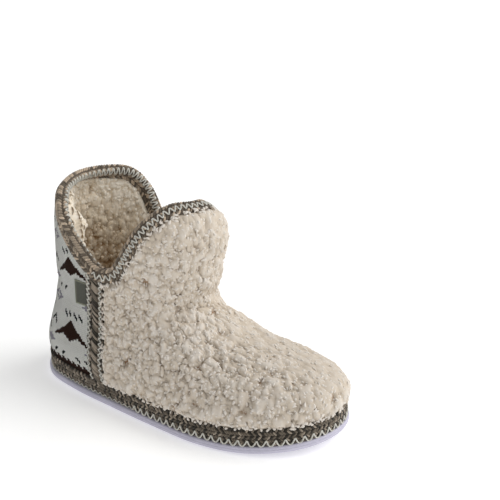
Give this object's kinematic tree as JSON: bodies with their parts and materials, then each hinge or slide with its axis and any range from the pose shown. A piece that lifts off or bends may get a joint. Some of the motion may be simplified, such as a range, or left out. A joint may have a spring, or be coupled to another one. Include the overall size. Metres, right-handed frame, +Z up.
{
  "type": "fleece slipper boot",
  "caption": "Ankle-high slipper boot with a curly fleece vamp, a knitted back panel, zigzag braid on its edges, a fleece lining and a flat light rubber sole.",
  "frame": {"origin": "on the ground under the middle of the boot's bounding box", "axes": "+X towards the toe, +Y towards the inner (big toe) side, +Z up"},
  "size_m": [0.2576, 0.1106, 0.1556],
  "materials": {
    "sole_rubber": "satin, light lavender grey",
    "fleece": "curly cream pile",
    "braid": "coarse taupe and charcoal weave with light zigzag stitching",
    "tab_cloth": "plain dark woven ribbon"
  },
  "bodies": {
    "root": {"outsole": "sole_rubber", "insole": "fleece", "upper": "fleece", "foot_band": "braid", "collar_binding": "braid", "seam_band_outer": "braid", "seam_band_inner": "braid", "side_tab": "tab_cloth"}
  },
  "joints": []
}
